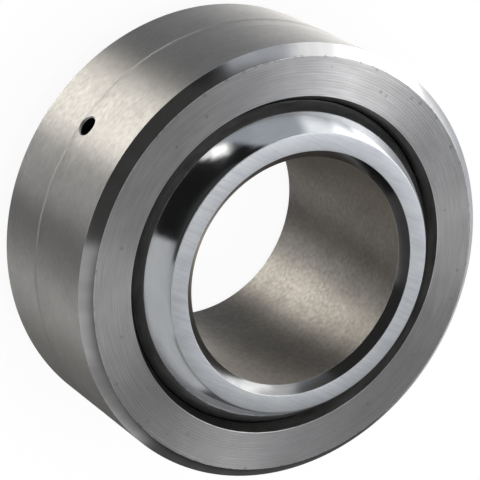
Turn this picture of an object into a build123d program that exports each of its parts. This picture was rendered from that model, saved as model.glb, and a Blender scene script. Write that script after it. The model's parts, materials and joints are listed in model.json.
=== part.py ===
from build123d import *
import os
from math import sqrt

# Spherical plain bearing, metal on metal, in two turned pieces: a ball with a bore, and the
# outer race that is swaged round it. The bore axis is Z and the origin is the centre of the
# sphere, half way through the ball and the race. All sizes are in millimetres.

# Ball (inner ring), with its wall measured half way along the bore
bore_diameter = 19.05
ball_wall = 5.55
ball_width = 19.05
bore_chamfer = 0.7
ball_edge_break = 0.12

# Outer race (outer ring), with its wall measured half way along the seat
race_wall = 3.13
race_width = 15.06
race_chamfer = 0.9
mouth_depth = 1.0
mouth_flare = 0.5

# Running clearance between the ball and the race's seat, on the radius
seat_clearance = 0.05

# Grease way: a shallow groove round the race, a hole drilled in it and a groove in the seat
grease_offset = -0.25
groove_width = 1.95
groove_side = 0.5
groove_depth = 0.05
hole_diameter = 1.59
hole_edge_break = 0.1
seat_groove_width = 2.2
seat_groove_depth = 0.45

bore_radius = bore_diameter / 2
ball_radius = bore_radius + ball_wall
ball_half = ball_width / 2
flat_radius = sqrt(ball_radius**2 - ball_half**2)
seat_radius = ball_radius + seat_clearance
race_radius = seat_radius + race_wall
race_half = race_width / 2
seat_half = race_half - mouth_depth
seat_edge_radius = sqrt(seat_radius**2 - seat_half**2)
mouth_radius = seat_edge_radius + mouth_flare

os.makedirs("parts", exist_ok=True)

# Ball: a sphere faced off on both sides and bored through, turned as one piece.
with BuildPart() as ball:
    with BuildSketch(Plane.XZ) as ball_section:
        with BuildLine():
            Polyline(
                (flat_radius, -ball_half),
                (bore_radius, -ball_half),
                (bore_radius, ball_half),
                (flat_radius, ball_half),
            )
            ThreePointArc(
                (flat_radius, ball_half),
                (ball_radius, 0),
                (flat_radius, -ball_half),
            )
        make_face()
        corners = ball_section.vertices().group_by(Axis.X)
        chamfer(corners[0], bore_chamfer)
        chamfer(corners[-1], ball_edge_break)
    revolve(axis=Axis.Z)
ball.part.label = "ball"

# Outer race: a ring with a spherical seat. Past the seat each end opens in a short tapered
# mouth, which leaves the ball room to tilt.
with BuildPart() as outer_race:
    with BuildSketch(Plane.XZ) as race_section:
        with BuildLine():
            Polyline(
                (seat_edge_radius, seat_half),
                (mouth_radius, race_half),
                (race_radius, race_half),
                (race_radius, -race_half),
                (mouth_radius, -race_half),
                (seat_edge_radius, -seat_half),
            )
            ThreePointArc(
                (seat_edge_radius, -seat_half),
                (seat_radius, 0),
                (seat_edge_radius, seat_half),
            )
        make_face()
        chamfer(race_section.vertices().group_by(Axis.X)[-1], race_chamfer)

        # Groove round the outside, with a flat floor and sloping sides
        with BuildLine():
            Polyline(
                (race_radius, grease_offset + groove_width / 2),
                (race_radius - groove_depth, grease_offset + groove_width / 2 - groove_side),
                (race_radius - groove_depth, grease_offset - groove_width / 2 + groove_side),
                (race_radius, grease_offset - groove_width / 2),
                close=True,
            )
        make_face(mode=Mode.SUBTRACT)

        # Groove in the seat, which spreads the grease round the ball
        with Locations((seat_radius, grease_offset)):
            Rectangle(2 * seat_groove_depth, seat_groove_width, mode=Mode.SUBTRACT)
    revolve(axis=Axis.Z)

    # Grease hole through the wall, from the outer groove to the seat groove. Its edge is
    # broken at 45 degrees, and the cone is measured where it would leave the race's outside.
    with Locations(Plane(origin=(0, -race_radius, grease_offset), z_dir=(0, -1, 0))):
        CounterSinkHole(
            radius=hole_diameter / 2,
            counter_sink_radius=hole_diameter / 2 + hole_edge_break + groove_depth,
            depth=race_radius - seat_radius,
            counter_sink_angle=90,
        )
outer_race.part.label = "outer_race"

export_step(ball.part, "parts/ball.step")
export_step(outer_race.part, "parts/outer_race.step")
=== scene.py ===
"""Turns, finishes and lights a spherical plain bearing: an outer race and the ball held in it."""

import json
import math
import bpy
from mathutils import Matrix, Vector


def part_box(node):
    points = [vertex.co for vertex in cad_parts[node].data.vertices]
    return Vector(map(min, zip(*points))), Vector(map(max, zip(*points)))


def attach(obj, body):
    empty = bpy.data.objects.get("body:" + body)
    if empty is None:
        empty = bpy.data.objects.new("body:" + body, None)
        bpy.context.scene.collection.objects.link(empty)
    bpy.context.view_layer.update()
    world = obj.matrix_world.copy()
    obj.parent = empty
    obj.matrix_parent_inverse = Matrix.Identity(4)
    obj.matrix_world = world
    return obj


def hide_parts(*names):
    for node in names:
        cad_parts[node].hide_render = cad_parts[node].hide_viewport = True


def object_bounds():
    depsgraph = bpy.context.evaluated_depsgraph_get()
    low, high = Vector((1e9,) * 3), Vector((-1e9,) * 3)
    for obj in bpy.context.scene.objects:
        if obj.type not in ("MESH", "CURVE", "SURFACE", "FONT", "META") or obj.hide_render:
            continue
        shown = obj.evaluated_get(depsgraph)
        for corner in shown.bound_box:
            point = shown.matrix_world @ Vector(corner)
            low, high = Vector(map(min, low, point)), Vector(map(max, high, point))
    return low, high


bl_info = {
    "name": "Spherical Plain Bearing",
    "version": (1, 0, 0),
    "blender": (4, 5, 0),
    "location": "View3D > Sidebar > Bearing",
    "description": "Turns the race and the ball of a spherical plain bearing and lights them",
    "category": "Add Mesh",
}

from typing import NamedTuple

import bpy
from bpy.props import FloatProperty, FloatVectorProperty, IntProperty, PointerProperty
from mathutils import Matrix, Vector

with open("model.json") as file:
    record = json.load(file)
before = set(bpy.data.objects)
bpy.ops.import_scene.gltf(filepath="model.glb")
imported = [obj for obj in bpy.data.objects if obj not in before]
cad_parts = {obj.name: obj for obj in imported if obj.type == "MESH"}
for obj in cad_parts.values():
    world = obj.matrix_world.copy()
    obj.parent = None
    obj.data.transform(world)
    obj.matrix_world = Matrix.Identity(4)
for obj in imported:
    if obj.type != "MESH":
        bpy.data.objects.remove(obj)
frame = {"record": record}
cad_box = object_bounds()

MM = 0.001

race_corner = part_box("outer_race")[1]
ball_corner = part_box("ball")[1]
mounts = {mount["name"]: mount for mount in frame["record"]["mounts"]}
bore_radius = mounts["bore"]["dims"]["r_mm"] * MM


def length(name, description, default, least=0.0):
    """A length that a user may change, in metres."""
    return FloatProperty(
        name=name, description=description, default=default, min=least, precision=5,
        unit="LENGTH", subtype="DISTANCE",
    )


def share(name, description, default):
    """A share from 0 to 1 that a user may change."""
    return FloatProperty(
        name=name, description=description, default=default, min=0.0, max=1.0, subtype="FACTOR",
    )


def strength(name, description, default):
    """The strength of a light that a user may change."""
    return FloatProperty(name=name, description=description, default=default, min=0.0)


def tint(name, description, default):
    """A colour that a user may change."""
    return FloatVectorProperty(
        name=name, description=description, default=default, size=3, min=0.0, max=1.0,
        subtype="COLOR",
    )


def angle(name, description, default):
    """An angle that a user may change, given here in degrees."""
    return FloatProperty(
        name=name, description=description, default=math.radians(default),
        unit="ROTATION", subtype="ANGLE",
    )


class RaceSettings(bpy.types.PropertyGroup):
    """Sizes and finishes of the outer race."""

    outside_radius: length("Outside Radius", "Radius of the ground outside", race_corner.x)
    half_width: length("Half Width", "Half of the race's width", race_corner.z)
    chamfer: length("Chamfer", "Chamfer at each end of the outside", 0.9 * MM)
    edge: length("Edge Radius", "Rounding left on the turned edges", 0.035 * MM)
    mouth_depth: length("Mouth Depth", "Depth of the tapered mouth", 1.0 * MM)
    mouth_flare: length("Mouth Flare", "How far the mouth opens on the radius", 0.5 * MM)
    seat_clearance: length("Seat Clearance", "Gap between the seat and the ball", 0.05 * MM)
    grease_height: length(
        "Grease Height", "Height of the grease groove and hole above mid-width", -0.25 * MM,
        least=-race_corner.z,
    )
    groove_width: length("Groove Width", "Width of the groove round the outside", 1.95 * MM)
    groove_side: length("Groove Side", "Width of each sloping side of the groove", 0.5 * MM)
    groove_depth: length("Groove Depth", "Depth of the groove round the outside", 0.05 * MM)
    groove_blend: length("Groove Blend", "Radius where the groove's slopes begin and end", 1.5 * MM)
    hole_radius: length("Hole Radius", "Radius of the grease hole", 0.795 * MM)
    hole_break: length("Hole Edge Break", "Width of the broken edge of the grease hole", 0.1 * MM)
    seat_groove_width: length("Seat Groove Width", "Width of the groove in the seat", 2.2 * MM)
    seat_groove_depth: length("Seat Groove Depth", "Depth of the groove in the seat", 0.45 * MM)
    segments: IntProperty(name="Segments", description="Steps round the race", default=480, min=24)
    ground_colour: tint("Ground Steel", "Colour of the ground outside", (0.72, 0.7, 0.67))
    # The groove side's colour is painted shade: darker than the ground steel, it stands in for the shading
    # of the groove's lower slope.
    groove_shade_colour: tint("Groove Side", "Darker colour painted on the groove's lower side as shade", (0.64, 0.63, 0.61))
    face_colour: tint("Face Steel", "Colour of the turned faces", (0.55, 0.542, 0.545))
    chamfer_colour: tint("Chamfer Steel", "Colour of the bright chamfers", (0.8, 0.8, 0.8))
    # The seat's near-black colour is painted shade in the narrow gap between the race and the ball.
    seat_shade_colour: tint("Seat in Painted Shade", "Painted shade of the seat in the gap at the ball", (0.03, 0.03, 0.03))
    # The near-black colour of the mouths and the grease hole is painted shade in these recesses.
    recess_shade_colour: tint("Mouth", "Painted shade of the tapered mouths and the grease hole", (0.09, 0.085, 0.08))


class BallSettings(bpy.types.PropertyGroup):
    """Sizes and finishes of the ball."""

    ball_radius: length("Ball Radius", "Radius of the sphere", ball_corner.x)
    half_width: length("Half Width", "Half of the ball's width", ball_corner.z)
    bore_radius: length("Bore Radius", "Radius of the bore", bore_radius)
    bore_chamfer: length("Bore Chamfer", "Chamfer at each mouth of the bore", 0.7 * MM)
    bore_edge: length("Bore Edge Radius", "Rounding beside the bore's chamfer", 0.06 * MM)
    edge: length("Edge Radius", "Rounding between the sphere and the end face", 0.12 * MM)
    segments: IntProperty(name="Segments", description="Steps round the ball", default=480, min=24)
    sphere_colour: tint("Polished Steel", "Colour of the polished sphere", (0.775, 0.8, 0.825))
    face_colour: tint("End Face", "Colour of the brushed end faces", (0.89, 0.915, 0.955))
    bore_colour: tint("Bore", "Colour of the satin bore", (0.475, 0.447, 0.41))
    bore_edge_colour: tint("Bore Chamfer Steel", "Colour of the bore's chamfers", (0.38, 0.38, 0.38))
    lay: angle("Brushing Direction", "Direction of the scratches on the end faces", 100.0)


class StageSettings(bpy.types.PropertyGroup):
    """The floor, the light and the camera."""

    floor_colour: tint("Floor", "Colour of the floor", (0.9, 0.9, 0.9))
    floor_glow: share("Floor Glow", "Share of the floor that stays white in the shadow", 0.93)
    fill: strength("Fill", "Strength of the soft light all round", 0.35)
    lamp: strength("Lamp", "Brightness of the lamp overhead", 4.2)
    azimuth: angle("Camera Azimuth", "Direction of the camera round the bore axis", -86.362)
    elevation: angle("Camera Elevation", "Height of the camera above the horizon", 55.117)
    roll: angle("Camera Roll", "Turn of the camera about its view", 121.562)
    distance: length("Camera Distance", "Distance of the camera from the middle", 214.469 * MM)
    offset_right: length("Offset Right", "How far the bearing is right of mid-picture", 0.2436 * MM)
    offset_up: length("Offset Up", "How far the bearing is above mid-picture", 0.0862 * MM)
    lens: FloatProperty(
        name="Focal Length", description="Focal length on a 36 mm sensor", default=195.582, min=1.0,
        unit="CAMERA",
    )


class BearingSettings(bpy.types.PropertyGroup):
    """Everything that a user may change."""

    race: PointerProperty(type=RaceSettings, name="Race", description="The outer race")
    ball: PointerProperty(type=BallSettings, name="Ball", description="The ball")
    stage: PointerProperty(type=StageSettings, name="Stage", description="Floor, light and camera")


# Turned shapes

ARC_STEP = math.radians(1.5)
EDGE_STEPS = 4
SHARP_TURN = math.radians(20)
CREASE = math.radians(32)
WEIGHT_OF_LARGE_FACES = 100
DRILL_SEGMENTS = 64

# Share of the groove's lower slope, from the outside in, that has a finish of its own, whose darker colour
# is painted shade.
SHADED_SLOPE = 0.5


def arc(radius, start_height, end_height, finish):
    """Corners along a sphere about the middle, from one height to another."""
    start = math.asin(start_height / radius)
    end = math.asin(end_height / radius)
    count = max(2, round(abs(end - start) / ARC_STEP))
    angles = [start + (end - start) * k / count for k in range(1, count)]
    return [(radius * math.cos(a), radius * math.sin(a), 0.0, finish) for a in angles]


def round_section(corners):
    """Rounds a closed section. A corner is (radius, height, rounding, finish of the stretch after it).

    Gives the points and the finish after each. A corner sharper than SHARP_TURN has an edge finish."""
    points, finishes = [], []
    for index, (radius, height, rounding, finish) in enumerate(corners):
        here = Vector((radius, height))
        if rounding == 0.0:
            points.append(here)
            finishes.append(finish)
            continue
        back = (Vector(corners[index - 1][:2]) - here).normalized()
        ahead = (Vector(corners[(index + 1) % len(corners)][:2]) - here).normalized()
        half_turn = (math.pi - back.angle(ahead)) / 2
        centre = here + (back + ahead).normalized() * rounding / math.cos(half_turn)
        start = here + back * rounding * math.tan(half_turn) - centre
        end = here + ahead * rounding * math.tan(half_turn) - centre
        sweep = math.atan2(start.x * end.y - start.y * end.x, start.dot(end))
        for step in range(EDGE_STEPS + 1):
            spoke = Matrix.Rotation(sweep * step / EDGE_STEPS, 2) @ start
            points.append(centre + spoke)
            finishes.append("edge" if step < EDGE_STEPS and abs(sweep) > SHARP_TURN else finish)
    return points, finishes


def add_object(name, data):
    """Puts a mesh, a lamp or a camera into the scene."""
    thing = bpy.data.objects.new(name, data)
    bpy.context.scene.collection.objects.link(thing)
    return thing


def turn(name, corners, segments, materials):
    """A solid of revolution about Z, with a material for each finish of its section."""
    points, finishes = round_section(corners)
    order = list(materials)
    vertices, faces, slots = [], [], []
    for segment in range(segments):
        # The half step puts the middle of a face, and no edge, where the grease hole is drilled.
        around = 2 * math.pi * (segment + 0.5) / segments
        across = Vector((math.cos(around), math.sin(around)))
        for point in points:
            vertices.append((across.x * point.x, across.y * point.x, point.y))
    count = len(points)
    for segment in range(segments):
        here = segment * count
        there = (segment + 1) % segments * count
        for low in range(count):
            high = (low + 1) % count
            faces.append((here + low, there + low, there + high, here + high))
            slots.append(order.index(finishes[low]))
    mesh = bpy.data.meshes.new(name)
    mesh.from_pydata(vertices, [], faces)
    for material in materials.values():
        mesh.materials.append(material)
    mesh.polygons.foreach_set("material_index", slots)
    mesh.polygons.foreach_set("use_smooth", [True] * len(faces))
    return add_object(name, mesh)


def bake_modifiers(piece):
    """Puts what the modifiers make into the piece's own mesh."""
    graph = bpy.context.evaluated_depsgraph_get()
    mesh = bpy.data.meshes.new_from_object(piece.evaluated_get(graph))
    piece.modifiers.clear()
    piece.data = mesh


def even_shading(piece):
    """Keeps flat stretches flat in the light up to their rounded edges."""
    piece.data.set_sharp_from_angle(angle=CREASE)
    weigh = piece.modifiers.new("Even shading", "WEIGHTED_NORMAL")
    weigh.weight = WEIGHT_OF_LARGE_FACES
    weigh.keep_sharp = True
    bake_modifiers(piece)


def drill(piece, tool):
    """Cuts the tool's shape out of the piece."""
    cut = piece.modifiers.new("Drilled hole", "BOOLEAN")
    cut.operation = "DIFFERENCE"
    cut.solver = "EXACT"
    cut.object = tool
    bake_modifiers(piece)
    bpy.data.objects.remove(tool)


def race_corners(race, ball):
    """Corners of the race's section, up the outside and down the seat."""
    radius, half, edge = race.outside_radius, race.half_width, race.edge
    groove_low = race.grease_height - race.groove_width / 2
    groove_high = race.grease_height + race.groove_width / 2
    floor_radius = radius - race.groove_depth
    shaded_radius = radius - SHADED_SLOPE * race.groove_depth
    shaded_height = groove_low + SHADED_SLOPE * race.groove_side
    seat_radius = ball.ball_radius + race.seat_clearance
    seat_half = half - race.mouth_depth
    seat_edge = math.sqrt(seat_radius**2 - seat_half**2)
    mouth_radius = seat_edge + race.mouth_flare
    way_low = race.grease_height - race.seat_groove_width / 2
    way_high = race.grease_height + race.seat_groove_width / 2
    way_radius = seat_radius + race.seat_groove_depth
    return [
        (radius, race.chamfer - half, edge, "ground"),
        # The outer part of the groove's lower slope takes the finish with painted shade.
        (radius, groove_low, edge, "groove side shade"),
        (shaded_radius, shaded_height, 0.0, "ground"),
        (floor_radius, groove_low + race.groove_side, race.groove_blend, "ground"),
        (floor_radius, groove_high - race.groove_side, race.groove_blend, "ground"),
        (radius, groove_high, race.groove_blend, "ground"),
        (radius, half - race.chamfer, edge, "chamfer"),
        (radius - race.chamfer, half, edge, "face"),
        (mouth_radius, half, edge, "mouth"),
        (seat_edge, seat_half, 0.0, "seat"),
        *arc(seat_radius, seat_half, way_high, "seat"),
        (math.sqrt(seat_radius**2 - way_high**2), way_high, 0.0, "seat"),
        (way_radius, way_high, 0.0, "seat"),
        (way_radius, way_low, 0.0, "seat"),
        (math.sqrt(seat_radius**2 - way_low**2), way_low, 0.0, "seat"),
        *arc(seat_radius, way_low, -seat_half, "seat"),
        (seat_edge, -seat_half, 0.0, "mouth"),
        (mouth_radius, -half, edge, "face"),
        (radius - race.chamfer, -half, edge, "chamfer"),
    ]


def drill_corners(race, ball):
    """Corners of the drill and its countersink, up from the ball's surface to past the outside."""
    bottom = ball.ball_radius
    top = race.outside_radius + race.hole_radius
    rim = race.outside_radius - race.groove_depth - race.hole_break
    return [
        (0.0, bottom, 0.0, "hole"),
        (race.hole_radius, bottom, 0.0, "hole"),
        (race.hole_radius, rim, race.edge, "hole edge"),
        (race.hole_radius + top - rim, top, 0.0, "hole"),
        (0.0, top, 0.0, "hole"),
    ]


def ball_corners(ball):
    """Corners of the ball's section, up the sphere and down the bore."""
    half, bore, chamfer = ball.half_width, ball.bore_radius, ball.bore_chamfer
    flat_radius = math.sqrt(ball.ball_radius**2 - half**2)
    return [
        (flat_radius, -half, ball.edge, "sphere"),
        *arc(ball.ball_radius, -half, half, "sphere"),
        (flat_radius, half, ball.edge, "end face"),
        (bore + chamfer, half, ball.bore_edge, "bore chamfer"),
        (bore, half - chamfer, ball.bore_edge, "bore"),
        (bore, chamfer - half, ball.bore_edge, "bore chamfer"),
        (bore + chamfer, -half, ball.bore_edge, "end face"),
    ]


# Finishes

# Noise is nearly always between these two values.
NOISE_LOW = 0.3
NOISE_HIGH = 0.7


def start_material(name):
    """An empty material and its node tree."""
    material = bpy.data.materials.new(name)
    material.use_nodes = True
    material.node_tree.nodes.clear()
    return material, material.node_tree


def add_node(tree, kind, inputs=(), **settings):
    """Adds a node. Inputs are values or sockets, by order or by name."""
    node = tree.nodes.new(kind)
    for name, value in settings.items():
        setattr(node, name, value)
    pairs = inputs.items() if isinstance(inputs, dict) else enumerate(inputs)
    for key, value in pairs:
        if isinstance(value, bpy.types.NodeSocket):
            tree.links.new(value, node.inputs[key])
        else:
            node.inputs[key].default_value = value
    return node


def maths(tree, operation, *values):
    """The result of one Math node."""
    return add_node(tree, "ShaderNodeMath", values, operation=operation).outputs[0]


def start_group(name, inputs, outputs):
    """A shader node group with float inputs and outputs, given as {name: default} and names."""
    tree = bpy.data.node_groups.new(name, "ShaderNodeTree")
    for label, default in inputs.items():
        socket = tree.interface.new_socket(label, in_out="INPUT", socket_type="NodeSocketFloat")
        socket.default_value = default
    for label in outputs:
        tree.interface.new_socket(label, in_out="OUTPUT", socket_type="NodeSocketFloat")
    return tree, tree.nodes.new("NodeGroupInput").outputs, tree.nodes.new("NodeGroupOutput").inputs


def place_group(tree, group, values):
    """Places a node group, with its own values."""
    node = tree.nodes.new("ShaderNodeGroup")
    node.node_tree = bpy.data.node_groups[group]
    for key, value in values.items():
        node.inputs[key].default_value = value
    return node


def soft_step(tree, value, low, high):
    """A mask that rises smoothly from 0 at low to 1 at high."""
    node = add_node(
        tree, "ShaderNodeMapRange",
        {"Value": value, "From Min": low, "From Max": high},
        interpolation_type="SMOOTHSTEP",
    )
    return node.outputs["Result"]


def spread_noise(tree, noise, low, high, clamp=False):
    """Spreads a noise over the values from low to high."""
    node = add_node(
        tree, "ShaderNodeMapRange",
        {"Value": noise, "From Min": NOISE_LOW, "From Max": NOISE_HIGH, "To Min": low, "To Max": high},
        clamp=clamp,
    )
    return node.outputs["Result"]


def noise_at(tree, x, y, z, detail, roughness=0.5):
    """Noise at a point given by three sockets or values."""
    point = add_node(tree, "ShaderNodeCombineXYZ", (x, y, z)).outputs[0]
    node = add_node(
        tree, "ShaderNodeTexNoise",
        {"Vector": point, "Scale": 1.0, "Detail": detail, "Roughness": roughness},
    )
    return node.outputs["Fac"]


def turning_marks():
    """Marks that run round the axis, as a lathe or a grinding wheel leaves them, in millimetres."""
    tree, given, made = start_group(
        "Turning marks",
        {"Across Faces": 1.0, "Along Axis": 0.0, "Grain per mm": 7.0, "Grain Depth": 0.002,
         "Grain Steps Round": 6.0, "Streaks per mm": 2.0, "Streak Steps Round": 6.0,
         "Tool Marks per mm": 4.5, "Tool Mark Depth": 0.0, "Tool Mark Tone": 0.0},
        ["Height", "Streaks"],
    )
    place = add_node(tree, "ShaderNodeTexCoord").outputs["Object"]
    axes = add_node(tree, "ShaderNodeSeparateXYZ", (place,)).outputs
    squares = maths(tree, "ADD", maths(tree, "POWER", axes[0], 2.0), maths(tree, "POWER", axes[1], 2.0))
    radius = maths(tree, "SQRT", squares)
    out = maths(tree, "MULTIPLY", radius, given["Across Faces"])
    up = maths(tree, "MULTIPLY", axes[2], given["Along Axis"])
    across = maths(tree, "DIVIDE", maths(tree, "ADD", out, up), MM)
    cosine = maths(tree, "DIVIDE", axes[0], radius)
    sine = maths(tree, "DIVIDE", axes[1], radius)

    def marks(per_mm, steps_round, detail):
        return noise_at(
            tree, maths(tree, "MULTIPLY", cosine, given[steps_round]),
            maths(tree, "MULTIPLY", sine, given[steps_round]),
            maths(tree, "MULTIPLY", across, given[per_mm]), detail,
        )

    grain = marks("Grain per mm", "Grain Steps Round", detail=3.0)
    tooth = maths(tree, "FRACT", maths(tree, "MULTIPLY", across, given["Tool Marks per mm"]))
    height = maths(
        tree, "SUBTRACT", maths(tree, "MULTIPLY", grain, given["Grain Depth"]),
        maths(tree, "MULTIPLY", tooth, given["Tool Mark Depth"]),
    )
    tree.links.new(height, made["Height"])
    tone = maths(tree, "MULTIPLY", maths(tree, "SUBTRACT", tooth, 0.5), given["Tool Mark Tone"])
    streaks = maths(tree, "ADD", marks("Streaks per mm", "Streak Steps Round", detail=4.0), tone)
    tree.links.new(streaks, made["Streaks"])
    return tree


def straight_scratches():
    """Scratches that all run one way across a face, as a belt or a surface grinder leaves them."""
    tree, given, made = start_group(
        "Straight scratches",
        {"Direction": 0.0, "Scratches per mm": 7.0, "Turns per mm": 0.3, "Scratch Depth": 0.003},
        ["Height", "Streaks"],
    )
    place = add_node(tree, "ShaderNodeTexCoord").outputs["Object"]
    turned = add_node(
        tree, "ShaderNodeVectorRotate",
        {"Vector": place, "Angle": maths(tree, "MULTIPLY", given["Direction"], -1.0)},
        rotation_type="Z_AXIS",
    ).outputs[0]
    axes = add_node(tree, "ShaderNodeSeparateXYZ", (turned,)).outputs
    along = maths(tree, "MULTIPLY", maths(tree, "DIVIDE", axes[0], MM), given["Turns per mm"])
    across = maths(tree, "MULTIPLY", maths(tree, "DIVIDE", axes[1], MM), given["Scratches per mm"])
    up = maths(tree, "DIVIDE", axes[2], MM)
    fine = noise_at(tree, along, across, up, detail=4.0, roughness=0.6)
    tree.links.new(maths(tree, "MULTIPLY", fine, given["Scratch Depth"]), made["Height"])
    coarse = maths(tree, "MULTIPLY", across, 0.5)
    streaks = noise_at(tree, along, coarse, up, detail=3.0, roughness=0.6)
    tree.links.new(streaks, made["Streaks"])
    return tree


def mottling():
    """Uneven patches and small dark pits. About one cell in four holds a pit."""
    tree, given, made = start_group(
        "Mottling",
        {"Patches per mm": 0.35, "Specks per mm": 0.9, "Speck Size": 0.2},
        ["Patches", "Specks"],
    )
    place = add_node(tree, "ShaderNodeTexCoord").outputs["Object"]
    in_mm = add_node(
        tree, "ShaderNodeVectorMath", {0: place, "Scale": 1 / MM}, operation="SCALE"
    ).outputs[0]
    patches = add_node(
        tree, "ShaderNodeTexNoise", {"Vector": in_mm, "Scale": given["Patches per mm"], "Detail": 4.0},
    ).outputs["Fac"]
    tree.links.new(patches, made["Patches"])
    cells = add_node(
        tree, "ShaderNodeTexVoronoi", {"Vector": in_mm, "Scale": given["Specks per mm"]},
    )
    near = maths(tree, "SUBTRACT", given["Speck Size"], cells.outputs["Distance"])
    spot = soft_step(tree, near, low=0.0, high=0.1)
    chance = add_node(tree, "ShaderNodeSeparateColor", (cells.outputs["Color"],)).outputs[0]
    chosen = soft_step(tree, chance, low=0.72, high=0.78)
    tree.links.new(maths(tree, "MULTIPLY", spot, chosen), made["Specks"])
    return tree


def edge_nicks():
    """Small nicks that bite into a face along a round edge, with radii in millimetres."""
    tree, given, made = start_group(
        "Edge nicks",
        {"Edge Radius": 17.355, "Outward": 1.0, "Reach": 0.12, "Nicks Round": 60.0},
        ["Nicks"],
    )
    place = add_node(tree, "ShaderNodeTexCoord").outputs["Object"]
    flat = add_node(
        tree, "ShaderNodeVectorMath", (place, (1 / MM, 1 / MM, 0.0)), operation="MULTIPLY"
    ).outputs[0]
    radius = add_node(tree, "ShaderNodeVectorMath", (flat,), operation="LENGTH").outputs["Value"]
    around = add_node(tree, "ShaderNodeVectorMath", (flat,), operation="NORMALIZE").outputs[0]
    bite = add_node(
        tree, "ShaderNodeTexNoise",
        {"Vector": around, "Scale": given["Nicks Round"], "Detail": 3.0, "Roughness": 0.7},
    ).outputs["Fac"]
    inside = maths(
        tree, "MULTIPLY", maths(tree, "SUBTRACT", given["Edge Radius"], radius), given["Outward"]
    )
    depth = maths(tree, "MULTIPLY", soft_step(tree, bite, low=0.48, high=0.66), given["Reach"])
    nicks = soft_step(tree, maths(tree, "SUBTRACT", depth, inside), low=0.0, high=0.03)
    tree.links.new(nicks, made["Nicks"])
    return tree


def steel(name, colour, roughness, anisotropy, marks, streaks=0.25, patches=0.1, specks=0.0,
          roughness_swing=0.03, quarter_turn=False, nicks=None, nick_shade=1.0):
    """A bare steel finish: grain, streaks, patches, pits and nicks over one colour.

    Marks are the name of a node group and its values, and nicks are the values of theirs."""
    material, tree = start_material(name)
    surface = add_node(
        tree, "ShaderNodeBsdfPrincipled",
        {"Metallic": 1.0, "Anisotropic": anisotropy,
         "Anisotropic Rotation": 0.25 if quarter_turn else 0.0},
    )
    add_node(tree, "ShaderNodeOutputMaterial", (surface.outputs[0],))
    tangent = add_node(tree, "ShaderNodeTangent", direction_type="RADIAL", axis="Z")
    tree.links.new(tangent.outputs[0], surface.inputs["Tangent"])
    grain = place_group(tree, *marks)
    spots = place_group(tree, "Mottling", {})
    streak_shade = spread_noise(tree, grain.outputs["Streaks"], 1.0 - streaks, 1.0 + streaks)
    patch_shade = spread_noise(tree, spots.outputs["Patches"], 1.0 - patches, 1.0 + patches)
    speck_shade = maths(
        tree, "SUBTRACT", 1.0, maths(tree, "MULTIPLY", spots.outputs["Specks"], specks)
    )
    shade = maths(tree, "MULTIPLY", maths(tree, "MULTIPLY", streak_shade, patch_shade), speck_shade)
    if nicks:
        bites = place_group(tree, "Edge nicks", nicks).outputs[0]
        change = maths(tree, "MULTIPLY_ADD", bites, nick_shade - 1.0, 1.0)
        shade = maths(tree, "MULTIPLY", shade, change)
    shaded = add_node(
        tree, "ShaderNodeVectorMath", {0: colour, "Scale": shade}, operation="SCALE"
    ).outputs[0]
    tree.links.new(shaded, surface.inputs["Base Color"])
    rough = spread_noise(
        tree, grain.outputs["Streaks"], roughness + roughness_swing, roughness - roughness_swing,
        clamp=True,
    )
    tree.links.new(rough, surface.inputs["Roughness"])
    bump = add_node(
        tree, "ShaderNodeBump",
        {"Strength": 1.0, "Distance": MM, "Height": grain.outputs["Height"]},
    )
    tree.links.new(bump.outputs[0], surface.inputs["Normal"])
    return material


def build_groups():
    """Makes the shared node groups once."""
    for name, make in (
        ("Turning marks", turning_marks),
        ("Straight scratches", straight_scratches),
        ("Mottling", mottling),
        ("Edge nicks", edge_nicks),
    ):
        if name not in bpy.data.node_groups:
            make()


ROUND_OUTSIDE = {"Across Faces": 0.0, "Along Axis": 1.0}
ROUND_FACE = {"Across Faces": 1.0, "Along Axis": 0.0}
ROUND_CHAMFER = {"Across Faces": 0.7, "Along Axis": 0.7}


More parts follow.
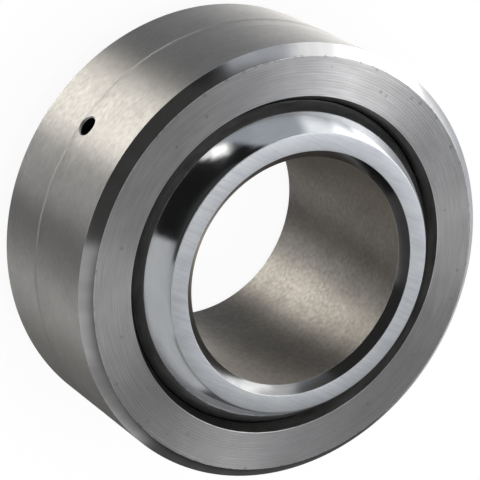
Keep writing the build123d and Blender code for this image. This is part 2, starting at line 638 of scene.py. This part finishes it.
def race_materials(race):
    """The finishes of the race, by the stretch of its section that has them."""
    build_groups()
    face_edge = {"Edge Radius": (race.outside_radius - race.chamfer) / MM, "Nicks Round": 26.0}
    return {
        "ground": steel(
            "Ground outside", race.ground_colour, roughness=0.46, anisotropy=0.9,
            marks=("Turning marks", {**ROUND_OUTSIDE, "Streaks per mm": 3.0, "Streak Steps Round": 34.0,
                                     "Grain Depth": 0.0007, "Grain Steps Round": 30.0}),
            quarter_turn=True, streaks=0.05, patches=0.05,
        ),
        # Painted shade: a darker colour stands in for the shading of the groove's lower slope.
        "groove side shade": steel(
            "Groove side, painted shade", race.groove_shade_colour, roughness=0.6, anisotropy=0.15,
            marks=("Turning marks", {**ROUND_OUTSIDE, "Grain Depth": 0.001}),
            quarter_turn=True, streaks=0.1, patches=0.03,
        ),
        "chamfer": steel(
            "Bright chamfer", race.chamfer_colour, roughness=0.16, anisotropy=0.3,
            marks=("Turning marks", {**ROUND_CHAMFER, "Streaks per mm": 4.0, "Streak Steps Round": 12.0,
                                     "Grain Depth": 0.0005, "Grain Steps Round": 20.0}),
            quarter_turn=True, streaks=0.08, patches=0.03, roughness_swing=0.01,
            nicks={**face_edge, "Outward": -1.0, "Reach": 0.1}, nick_shade=0.7,
        ),
        "face": steel(
            "Turned face", race.face_colour, roughness=0.43, anisotropy=0.9,
            marks=("Turning marks", {**ROUND_FACE, "Streaks per mm": 5.0, "Streak Steps Round": 5.0,
                                     "Tool Mark Depth": 0.02, "Tool Mark Tone": 0.35,
                                     "Grain per mm": 4.0, "Grain Depth": 0.012, "Grain Steps Round": 3.0}),
            quarter_turn=True, streaks=0.08, patches=0.06, specks=0.25,
            nicks={**face_edge, "Outward": 1.0, "Reach": 0.13}, nick_shade=0.6,
        ),
        # Painted shade: the mouth's steel is darkened for the shade in the tapered recess.
        "mouth": steel(
            "Mouth in painted shade", race.recess_shade_colour, roughness=0.5, anisotropy=0.0,
            marks=("Turning marks", {**ROUND_CHAMFER, "Grain Depth": 0.004}),
        ),
        # Painted shade: the seat is darkened for the shade in the gap between the race and the ball.
        "seat": steel(
            "Seat in painted shade", race.seat_shade_colour, roughness=0.3, anisotropy=0.0,
            marks=("Turning marks", {**ROUND_FACE, "Grain Depth": 0.0}),
        ),
        "edge": steel(
            "Race edges", race.chamfer_colour, roughness=0.3, anisotropy=0.0,
            marks=("Turning marks", {**ROUND_CHAMFER, "Grain Depth": 0.001}), streaks=0.2,
        ),
        "hole edge": steel(
            "Broken hole edge", race.chamfer_colour, roughness=0.55, anisotropy=0.0,
            marks=("Turning marks", {**ROUND_OUTSIDE, "Grain Depth": 0.001}),
        ),
        # Painted shade: the hole's wall takes the mouth's darkened colour for the shade inside the hole.
        "hole": steel(
            "Drilled hole", race.recess_shade_colour, roughness=0.5, anisotropy=0.0,
            marks=("Turning marks", {**ROUND_OUTSIDE, "Grain Depth": 0.002}),
        ),
    }


def ball_materials(ball):
    """The finishes of the ball, by the stretch of its section that has them."""
    build_groups()
    return {
        "sphere": steel(
            "Polished sphere", ball.sphere_colour, roughness=0.1, anisotropy=0.0,
            marks=("Turning marks", {**ROUND_OUTSIDE, "Grain Depth": 0.0002, "Grain Steps Round": 20.0}),
            streaks=0.02, patches=0.02, roughness_swing=0.04,
        ),
        "end face": steel(
            "Brushed end face", ball.face_colour, roughness=0.38, anisotropy=0.0,
            marks=("Straight scratches", {"Direction": ball.lay}), streaks=0.1, patches=0.06,
        ),
        "bore chamfer": steel(
            "Bore chamfer", ball.bore_edge_colour, roughness=0.16, anisotropy=0.0,
            marks=("Turning marks", {**ROUND_CHAMFER, "Grain Depth": 0.0004}), streaks=0.06,
        ),
        "bore": steel(
            "Satin bore", ball.bore_colour, roughness=0.5, anisotropy=0.7,
            marks=("Turning marks", {**ROUND_OUTSIDE, "Streaks per mm": 2.8, "Streak Steps Round": 26.0,
                                     "Grain Depth": 0.0015, "Grain Steps Round": 30.0}),
            quarter_turn=True, streaks=0.12, patches=0.07,
        ),
        "edge": steel(
            "Ball edges", ball.sphere_colour, roughness=0.42, anisotropy=0.0,
            marks=("Turning marks", {**ROUND_CHAMFER, "Grain Depth": 0.001}), streaks=0.1,
        ),
    }


class BEARING_OT_turn_race(bpy.types.Operator):
    """Turn the outer race with its groove, grease hole and seat"""

    bl_idname = "bearing.turn_race"
    bl_label = "Turn Outer Race"

    def execute(self, context):
        settings = context.scene.bearing
        race, ball = settings.race, settings.ball
        materials = race_materials(race)
        ring = turn("race_ring", race_corners(race, ball), race.segments, materials)
        tool = turn("grease_drill", drill_corners(race, ball), DRILL_SEGMENTS, materials)
        to_minus_y = Matrix.Rotation(math.pi / 2, 4, "X")
        tool.data.transform(Matrix.Translation((0.0, 0.0, race.grease_height)) @ to_minus_y)
        drill(ring, tool)
        even_shading(ring)
        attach(ring, "race")
        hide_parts("outer_race")
        return {"FINISHED"}


class BEARING_OT_turn_ball(bpy.types.Operator):
    """Turn the ball with its bore"""

    bl_idname = "bearing.turn_ball"
    bl_label = "Turn Ball"

    def execute(self, context):
        ball = context.scene.bearing.ball
        ring = turn("ball_ring", ball_corners(ball), ball.segments, ball_materials(ball))
        even_shading(ring)
        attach(ring, "ball")
        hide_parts("ball")
        return {"FINISHED"}


# Stage

# Lengths are in metres, angles in degrees and the camera's sensor in millimetres.
DOME_RADIUS = 0.7
DOME_COLUMNS = 240
DOME_ROWS = 120
DOME_TOP = 89.5
LAMP_ELEVATION = 89.9
LAMP_DISTANCE = 0.6
LAMP_SIDE = 0.5
FLOOR_REACH = 6.0
SENSOR_WIDTH = 36.0
CLIP_START = 0.01
WHITE = (1.0, 1.0, 1.0, 1.0)


def direction(azimuth, elevation):
    """The unit vector at an azimuth and an elevation in degrees."""
    a, e = math.radians(azimuth), math.radians(elevation)
    return Vector((math.cos(a) * math.cos(e), math.sin(a) * math.cos(e), math.sin(e)))


class Patch(NamedTuple):
    """A soft-edged patch of the dome, with its angles in degrees.

    The middle is an azimuth and an elevation, and half the size a width and a height."""

    middle: tuple
    half_size: tuple
    softness: float
    brightness: float
    warmth: float = 0.0
    tilt: float = 0.0


# What the steel reflects, listed one by one. A later patch lies over an earlier one, and white, of
# brightness 1, shows where there is none.
DOME_PATCHES = {
    "ceiling": Patch((0.0, 78.0), (400.0, 36.0), 8.0, 0.34),
    "pale wall": Patch((140.0, 50.0), (36.0, 22.0), 30.0, 0.7, warmth=-0.03),
    "ceiling strip": Patch((98.0, 72.0), (30.0, 8.0), 12.0, 0.95),
    "skylight": Patch((0.0, 61.0), (34.0, 15.0), 14.0, 1.7),
    "dark beside the skylight": Patch((60.0, 60.0), (21.0, 24.0), 12.0, 0.06),
    "dark panel": Patch((79.0, 24.0), (23.0, 20.0), 10.0, 0.08),
    "dark corner": Patch((44.0, 32.0), (20.0, 22.0), 10.0, 0.03),
    "bright window": Patch((147.0, 43.0), (10.5, 12.0), 10.0, 5.4),
    "grey wall": Patch((-12.0, 2.0), (53.0, 32.0), 8.0, 0.2),
    "grey wall, upper part": Patch((-34.0, 20.0), (24.0, 12.0), 14.0, 0.34),
    "grey wall, middle": Patch((-36.0, 6.0), (30.0, 10.0), 10.0, 0.46),
    "shade over the grey wall": Patch((-15.0, 39.4), (42.0, 16.0), 4.0, 0.08, tilt=-17.4),
    "cool wall": Patch((-149.5, 6.0), (21.5, 22.0), 8.0, 0.38, warmth=-0.04),
    "shade over the cool wall": Patch((-155.0, 34.0), (20.0, 10.0), 10.0, 0.12),
    "ground": Patch((8.0, -50.0), (90.0, 42.0), 12.0, 0.19, warmth=-0.02),
    "dark ground": Patch((28.0, -56.0), (24.0, 18.0), 12.0, 0.15, warmth=0.02),
    "pale ground": Patch((-12.0, -54.0), (15.0, 36.0), 6.0, 0.46, warmth=-0.01),
    "far edge of the ground": Patch((24.0, -32.0), (34.0, 11.0), 8.0, 0.04, tilt=-25.0),
    "pale ledge": Patch((9.0, -1.0), (38.0, 6.0), 8.0, 0.44, tilt=-14.0),
    "shade under the dark panel": Patch((60.0, -16.0), (30.0, 22.0), 8.0, 0.07),
    "dark beam": Patch((55.0, 5.5), (39.0, 14.0), 4.0, 0.012, tilt=-30.8),
    "low window": Patch((157.0, 1.0), (15.0, 14.0), 6.0, 2.1),
    "shaded ground": Patch((-154.0, -48.0), (45.0, 42.0), 14.0, 0.14, warmth=-0.05),
    "dark stripe": Patch((-42.0, -50.0), (14.0, 44.0), 4.0, 0.015, warmth=-0.02),
    "pale stripe": Patch((-69.0, -54.0), (15.0, 36.0), 3.0, 0.74, warmth=-0.01),
    "low lamp": Patch((-104.0, -58.0), (19.0, 36.0), 12.0, 2.55, warmth=0.03),
    "ground under the window": Patch((116.0, -30.0), (26.0, 18.0), 14.0, 0.5, warmth=-0.03),
    "bright ground": Patch((112.0, -70.0), (20.0, 24.0), 12.0, 1.5, warmth=-0.03),
    "shade over the camera": Patch((-105.0, 62.0), (55.0, 24.0), 20.0, 0.08),
    "black card": Patch((-97.0, 0.0), (34.0, 23.0), 3.0, 0.01),
    "dark wall": Patch((-98.0, 33.0), (47.0, 14.0), 4.0, 0.04, warmth=0.01),
    "black card's corner": Patch((-132.6, 17.3), (10.0, 8.0), 3.0, 0.012, tilt=-37.6),
    "cool edge": Patch((-130.0, -4.0), (14.0, 9.0), 3.0, 0.34, warmth=-0.04, tilt=-10.0),
    "small light, left": Patch((-127.0, 6.0), (2.5, 3.0), 2.0, 0.4, warmth=0.02, tilt=-20.0),
    "small light, middle": Patch((-121.5, 5.5), (5.0, 3.6), 2.5, 1.4, warmth=0.02, tilt=-20.0),
    "small light, right": Patch((-115.0, 2.5), (3.5, 2.5), 2.0, 0.9, warmth=0.02, tilt=-20.0),
}


def paint(azimuth, elevation):
    """How much of the white the dome covers in a direction, and with what colour."""
    cover, glow = 0.0, Vector((0.0, 0.0, 0.0))
    for patch in DOME_PATCHES.values():
        dx = (azimuth - patch.middle[0] + 180.0) % 360.0 - 180.0
        dy = elevation - patch.middle[1]
        tilt = math.radians(patch.tilt)
        x = dx * math.cos(tilt) + dy * math.sin(tilt)
        y = dy * math.cos(tilt) - dx * math.sin(tilt)
        half_width, half_height = patch.half_size
        inside = min(half_width - abs(x), half_height - abs(y)) / patch.softness + 0.5
        inside = min(1.0, max(0.0, inside))
        inside = inside * inside * (3.0 - 2.0 * inside)
        cover += (1.0 - cover) * inside
        colour = patch.brightness * Vector((1.0 + patch.warmth, 1.0, 1.0 - 2.0 * patch.warmth))
        glow += (colour - glow) * inside / max(cover, 0.001)
    return cover, (*glow, 1.0)


def glow_material(name):
    """Gives off the light stored on the dome, and is clear where no patch covers it."""
    material, tree = start_material(name)
    colour = add_node(tree, "ShaderNodeAttribute", attribute_name="glow").outputs["Color"]
    cover = add_node(tree, "ShaderNodeAttribute", attribute_name="cover").outputs["Fac"]
    glow = add_node(tree, "ShaderNodeEmission", (colour,))
    clear = add_node(tree, "ShaderNodeBsdfTransparent")
    mix = add_node(tree, "ShaderNodeMixShader", (cover, clear.outputs[0], glow.outputs[0]))
    add_node(tree, "ShaderNodeOutputMaterial", (mix.outputs[0],))
    return material


def make_dome():
    """A sphere of patches round the bearing, which only the reflections on the steel see."""
    vertices, cover, glow, faces = [], [], [], []
    for row in range(DOME_ROWS + 1):
        elevation = DOME_TOP * (2.0 * row / DOME_ROWS - 1.0)
        for column in range(DOME_COLUMNS):
            azimuth = 360.0 * column / DOME_COLUMNS
            vertices.append(direction(azimuth, elevation) * DOME_RADIUS)
            amount, colour = paint(azimuth, elevation)
            cover.append(amount)
            glow.extend(colour)
    for low in range(DOME_ROWS * DOME_COLUMNS):
        right = low + 1 if (low + 1) % DOME_COLUMNS else low + 1 - DOME_COLUMNS
        corners = (low, right, right + DOME_COLUMNS, low + DOME_COLUMNS)
        if max(cover[corner] for corner in corners) > 0.0:
            faces.append(corners)
    mesh = bpy.data.meshes.new("reflection_dome")
    mesh.from_pydata(vertices, [], faces)
    mesh.attributes.new("cover", "FLOAT", "POINT").data.foreach_set("value", cover)
    mesh.attributes.new("glow", "FLOAT_COLOR", "POINT").data.foreach_set("color", glow)
    mesh.materials.append(glow_material("Reflection dome"))
    dome = add_object("reflection_dome", mesh)
    dome.visible_camera = False
    dome.visible_diffuse = False
    dome.visible_shadow = False


def make_lamp(radiance):
    """A square lamp overhead that looks at the bearing, and that the steel doesn't mirror."""
    data = bpy.data.lights.new("overhead", "AREA")
    data.shape = "SQUARE"
    data.size = LAMP_SIDE
    data.energy = radiance * math.pi * LAMP_SIDE**2
    lamp = add_object("overhead", data)
    way = direction(0.0, LAMP_ELEVATION)
    lamp.location = way * LAMP_DISTANCE
    lamp.rotation_mode = "QUATERNION"
    lamp.rotation_quaternion = way.to_track_quat("Z", "Y")
    lamp.visible_glossy = False


def seen_directly(tree):
    """1 for what the camera, a reflection or glass shows, 0 for the light that falls on things."""
    path = add_node(tree, "ShaderNodeLightPath").outputs
    first = maths(tree, "MAXIMUM", path["Is Camera Ray"], path["Is Glossy Ray"])
    return maths(tree, "MAXIMUM", first, path["Is Transmission Ray"])


def make_world(fill):
    """White where it is seen, and a soft fill light elsewhere."""
    world = bpy.data.worlds.new("White studio")
    world.use_nodes = True
    tree = world.node_tree
    tree.nodes.clear()
    light = add_node(
        tree, "ShaderNodeMapRange",
        {"Value": seen_directly(tree), "To Min": fill, "To Max": 1.0},
    ).outputs["Result"]
    back = add_node(tree, "ShaderNodeBackground", {"Color": WHITE, "Strength": light})
    add_node(tree, "ShaderNodeOutputWorld", (back.outputs[0],))
    bpy.context.scene.world = world


def make_floor(colour, glow, height):
    """A pale floor that keeps a soft shadow."""
    corners = [
        (side * FLOOR_REACH, end * FLOOR_REACH, height)
        for side, end in ((-1, -1), (1, -1), (1, 1), (-1, 1))
    ]
    mesh = bpy.data.meshes.new("floor")
    mesh.from_pydata(corners, [], [(0, 1, 2, 3)])
    material, tree = start_material("Pale floor")
    matt = add_node(tree, "ShaderNodeBsdfDiffuse", {"Color": (*colour, 1.0)})
    white = add_node(tree, "ShaderNodeEmission", {"Color": WHITE, "Strength": 1.0})
    amount = maths(tree, "MULTIPLY", seen_directly(tree), glow)
    mix = add_node(tree, "ShaderNodeMixShader", (amount, matt.outputs[0], white.outputs[0]))
    add_node(tree, "ShaderNodeOutputMaterial", (mix.outputs[0],))
    mesh.materials.append(material)
    floor = add_object("floor", mesh)
    floor.visible_glossy = False
    floor.visible_shadow = False


def make_camera(stage):
    """The camera of the picture, turned about its own view."""
    data = bpy.data.cameras.new("camera")
    data.sensor_width = SENSOR_WIDTH
    data.lens = stage.lens
    data.clip_start = CLIP_START
    camera = add_object("camera", data)
    back = direction(math.degrees(stage.azimuth), math.degrees(stage.elevation))
    level = back.to_track_quat("Z", "Y").to_matrix()
    turned = level @ Matrix.Rotation(stage.roll, 3, "Z")
    right, up = turned.col[0], turned.col[1]
    camera.location = back * stage.distance - right * stage.offset_right - up * stage.offset_up
    camera.rotation_mode = "QUATERNION"
    camera.rotation_quaternion = turned.to_quaternion()
    bpy.context.scene.camera = camera


class BEARING_OT_set_stage(bpy.types.Operator):
    """Lay the floor and set the light, the dome and the camera"""

    bl_idname = "bearing.set_stage"
    bl_label = "Set Stage"

    def execute(self, context):
        stage = context.scene.bearing.stage
        context.scene.view_settings.view_transform = "Standard"
        make_world(stage.fill)
        make_floor(stage.floor_colour, stage.floor_glow, cad_box[0].z)
        make_dome()
        make_lamp(stage.lamp)
        make_camera(stage)
        return {"FINISHED"}


class BEARING_PT_sidebar(bpy.types.Panel):
    """Lists the bearing's pieces and its stage"""

    bl_idname = "BEARING_PT_sidebar"
    bl_label = "Spherical Plain Bearing"
    bl_space_type = "VIEW_3D"
    bl_region_type = "UI"
    bl_category = "Bearing"

    def draw(self, context):
        for operator in OPERATORS:
            self.layout.operator(operator.bl_idname)


OPERATORS = (BEARING_OT_turn_race, BEARING_OT_turn_ball, BEARING_OT_set_stage)
CLASSES = (RaceSettings, BallSettings, StageSettings, BearingSettings, *OPERATORS, BEARING_PT_sidebar)


def register():
    """Registers the classes and the scene's settings."""
    for item in CLASSES:
        bpy.utils.register_class(item)
    bpy.types.Scene.bearing = PointerProperty(
        type=BearingSettings, name="Bearing", description="The bearing's settings"
    )


def unregister():
    """Takes the settings and the classes away again."""
    del bpy.types.Scene.bearing
    for item in reversed(CLASSES):
        bpy.utils.unregister_class(item)


def main():
    """Builds everything in order."""
    register()
    bpy.ops.bearing.turn_race()
    bpy.ops.bearing.turn_ball()
    bpy.ops.bearing.set_stage()


if __name__ == "__main__":
    main()
